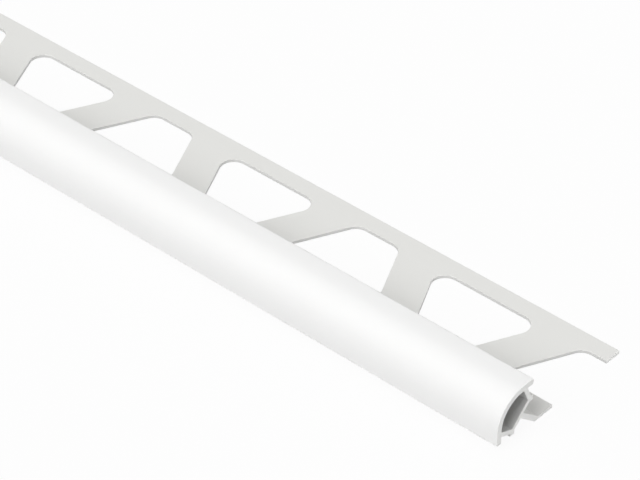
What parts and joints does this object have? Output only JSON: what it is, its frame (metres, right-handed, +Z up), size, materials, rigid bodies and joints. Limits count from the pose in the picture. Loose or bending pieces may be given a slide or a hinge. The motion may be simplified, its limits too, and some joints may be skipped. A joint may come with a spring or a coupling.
{
  "type": "tile edge trim",
  "caption": "Quarter-round plastic edge trim for tiled outside corners: a hollow rounded nose on a thin flat leg, perforated so that tile adhesive keys through it.",
  "frame": {"origin": "on the floor, under the middle of the trim's bounding box", "axes": "+X along the trim, +Y back along the anchoring leg, away from the round face, +Z up from the leg's underside"},
  "size_m": [2.5, 0.0326, 0.01],
  "materials": {
    "white_pvc": "smooth satin as extruded"
  },
  "bodies": {
    "root": {"edge_trim": "white_pvc"}
  },
  "joints": []
}
